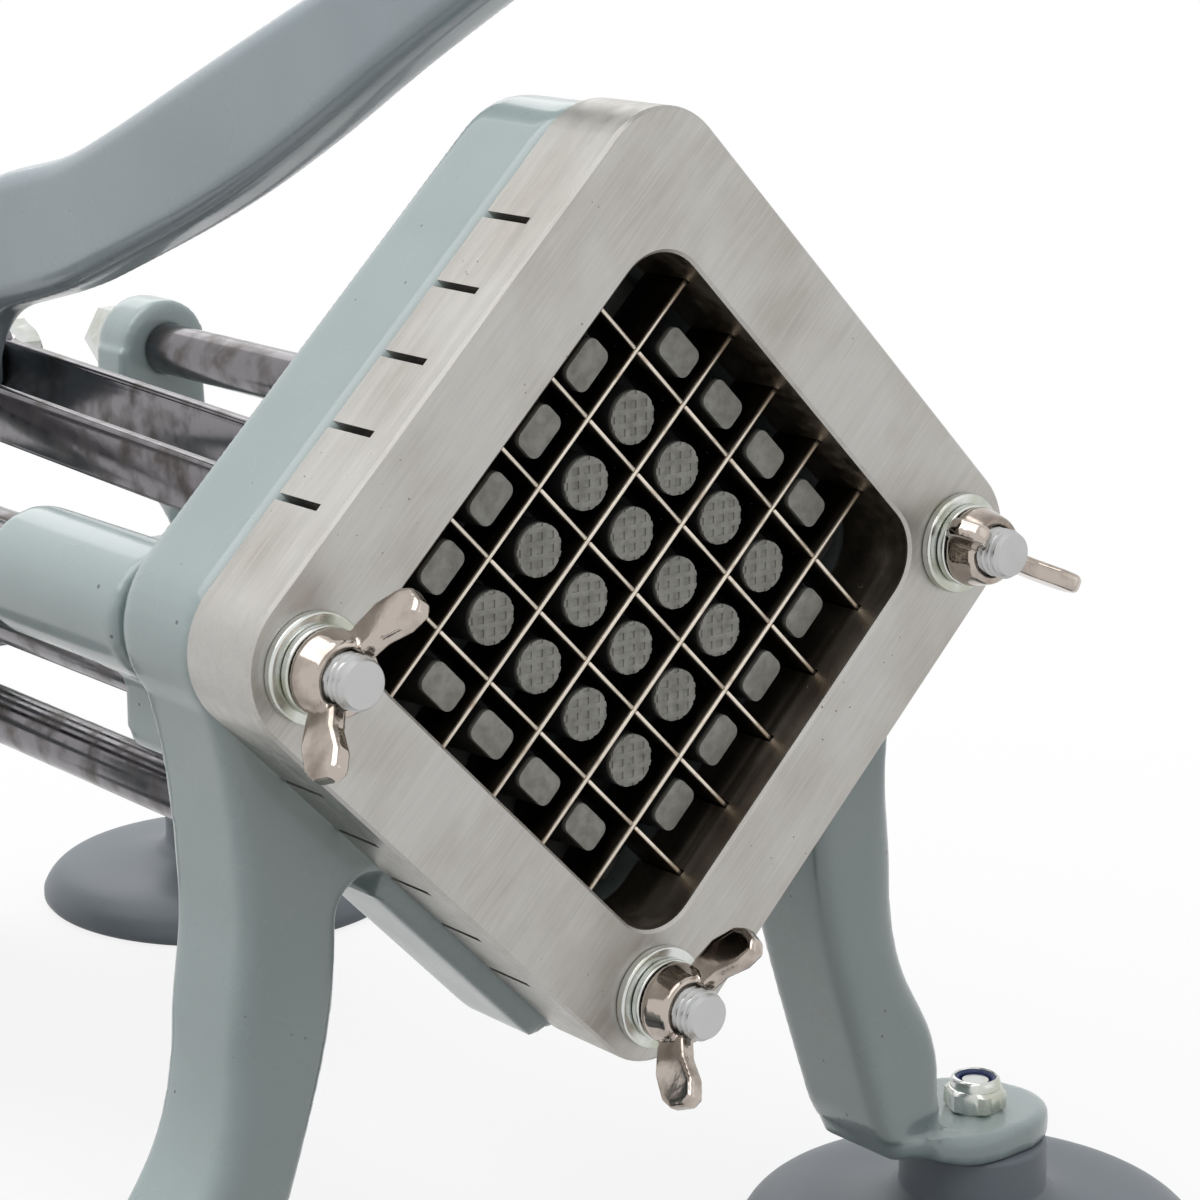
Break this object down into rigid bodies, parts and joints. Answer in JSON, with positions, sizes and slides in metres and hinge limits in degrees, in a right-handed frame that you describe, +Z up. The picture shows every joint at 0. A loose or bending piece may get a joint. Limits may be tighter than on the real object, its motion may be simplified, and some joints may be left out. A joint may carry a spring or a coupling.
{
  "type": "lever french fry cutter",
  "caption": "Counter-top lever cutter: a handle drives a pin-faced pusher along guide rods through a square blade grid held by wing nuts; suction-cup feet.",
  "frame": {"origin": "on the counter, under the middle of the closed cutter's box", "axes": "+Z up; +Y from the blade grid at the front to the handle pivot at the back; +X to the right seen from the front"},
  "size_m": [0.287, 0.4514, 0.3303],
  "materials": {
    "teal_grey_enamel": "gloss",
    "handle_enamel": "gloss",
    "machined_aluminium": "brushed",
    "blade_steel": "satin",
    "block_casting": "matte",
    "chrome_plate": "polished",
    "zinc_plate": "satin",
    "nickel_plate": "polished",
    "bearing_nylon": "matte",
    "blue_nylon": "matte",
    "cup_rubber": "satin"
  },
  "bodies": {
    "base": {"front_frame": "teal_grey_enamel", "rear_frame": "teal_grey_enamel", "blade_frame": "machined_aluminium", "rising_blade_1": "blade_steel", "rising_blade_2": "blade_steel", "rising_blade_3": "blade_steel", "rising_blade_4": "blade_steel", "rising_blade_5": "blade_steel", "falling_blade_1": "blade_steel", "falling_blade_2": "blade_steel", "falling_blade_3": "blade_steel", "falling_blade_4": "blade_steel", "falling_blade_5": "blade_steel", "left_guide_rod": "chrome_plate", "right_guide_rod": "chrome_plate", "bottom_guide_rod": "chrome_plate", "left_flat_washer": "zinc_plate", "right_flat_washer": "zinc_plate", "bottom_flat_washer": "zinc_plate", "left_spring_washer": "zinc_plate", "right_spring_washer": "zinc_plate", "bottom_spring_washer": "zinc_plate", "rear_rod_nuts": "zinc_plate", "rear_rod_washers": "zinc_plate", "foot_studs": "zinc_plate", "foot_lock_nuts": "zinc_plate", "foot_nut_inserts": "blue_nylon", "front_left_cup": "cup_rubber", "front_right_cup": "cup_rubber", "rear_left_cup": "cup_rubber", "rear_right_cup": "cup_rubber", "handle_pivot_bolt": "zinc_plate", "handle_pivot_nut": "zinc_plate", "handle_pivot_washers": "zinc_plate"},
    "pusher": {"pusher_carriage": "teal_grey_enamel", "push_block": "block_casting", "push_block_screws": "zinc_plate", "left_rod_bush": "bearing_nylon", "right_rod_bush": "bearing_nylon", "bottom_rod_bush": "bearing_nylon", "left_tail_rod": "chrome_plate", "right_tail_rod": "chrome_plate"},
    "handle": {"handle": "handle_enamel", "link_rear_bolt": "zinc_plate", "link_rear_nut": "zinc_plate"},
    "links": {"left_link": "chrome_plate", "right_link": "chrome_plate", "link_front_bolt": "zinc_plate", "link_front_nut": "zinc_plate"},
    "left_wing": {"left_wing_nut": "nickel_plate"},
    "right_wing": {"right_wing_nut": "nickel_plate"},
    "bottom_wing": {"bottom_wing_nut": "nickel_plate"}
  },
  "joints": [
    {"name": "handle_lift", "type": "hinge", "parent": "base", "child": "handle", "pos_m": [0, 0.19623, 0.034], "axis": [-1, 0, 0], "range_deg": [0, 55.8]},
    {"name": "pusher_travel", "type": "slide", "parent": "base", "child": "pusher", "axis": [0, 1, 0], "range_m": [0, 0.12493]},
    {"name": "link_swing", "type": "hinge", "parent": "handle", "child": "links", "pos_m": [0, 0.12623, 0.1473], "axis": [-1, 0, 0], "range_deg": [-58.67, 0]},
    {"name": "left_wing_turn", "type": "hinge", "parent": "base", "child": "left_wing", "pos_m": [-0.0635, -0.10377, 0.142], "axis": [0, -1, 0], "continuous": true},
    {"name": "right_wing_turn", "type": "hinge", "parent": "base", "child": "right_wing", "pos_m": [0.0635, -0.10377, 0.142], "axis": [0, -1, 0], "continuous": true},
    {"name": "bottom_wing_turn", "type": "hinge", "parent": "base", "child": "bottom_wing", "pos_m": [0, -0.10377, 0.0785], "axis": [0, -1, 0], "continuous": true}
  ],
  "couplings": [
    {"joint": "pusher_travel", "follows": "handle_lift", "m_per_rad": 0.12828},
    {"joint": "link_swing", "follows": "handle_lift", "ratio": -1.0514}
  ]
}
